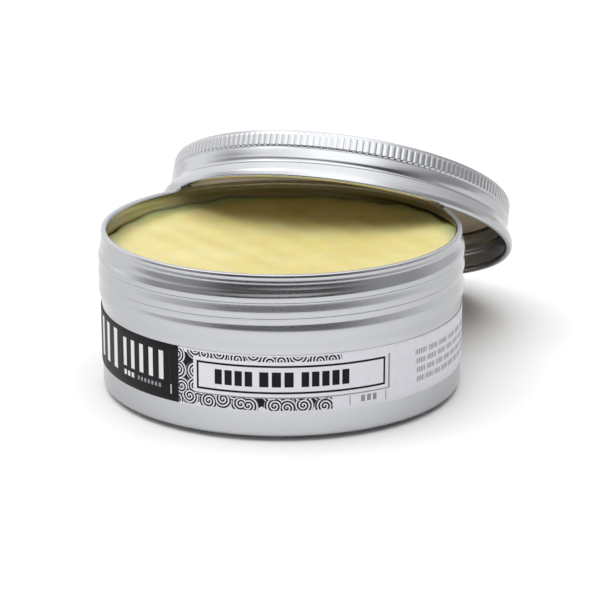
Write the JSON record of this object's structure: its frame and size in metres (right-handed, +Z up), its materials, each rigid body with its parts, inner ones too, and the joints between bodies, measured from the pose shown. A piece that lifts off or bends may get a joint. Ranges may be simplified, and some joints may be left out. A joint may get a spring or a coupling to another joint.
{
  "type": "wax tin",
  "caption": "Round screw-top aluminium tin of soft wax, with a printed paper wrap and its knurled lid off, leaning on the rim.",
  "frame": {"origin": "centre of the tin's flat base, on the surface that it stands on", "axes": "+Z up along the tin's axis, -Y towards the front of the label, and the lid leans behind the tin, towards +Y and a little towards +X"},
  "size_m": [0.0864, 0.1153, 0.0477],
  "materials": {
    "tin_aluminium": "satin drawn aluminium",
    "lid_aluminium": "satin drawn aluminium",
    "wax": "pale yellow soft wax, slightly translucent",
    "label_paper": "smooth printed paper",
    "liner_foam": "white foam sheet"
  },
  "bodies": {
    "tin": {"tin_body": "tin_aluminium", "wax": "wax", "label": "label_paper"},
    "liner": {"lid_liner": "liner_foam"},
    "lid": {"lid_shell": "lid_aluminium"}
  },
  "joints": [
    {"name": "lid_swing", "type": "hinge", "parent": "tin", "child": "liner", "pos_m": [-0.00495, -0.01783, -0.04714], "axis": [0.9636, -0.2672, 0], "range_deg": [0, 31]},
    {"name": "lid_turn", "type": "hinge", "parent": "liner", "child": "lid", "pos_m": [0.01156, 0.04169, 0.01974], "axis": [0.1376, 0.4963, 0.8572], "continuous": true}
  ]
}
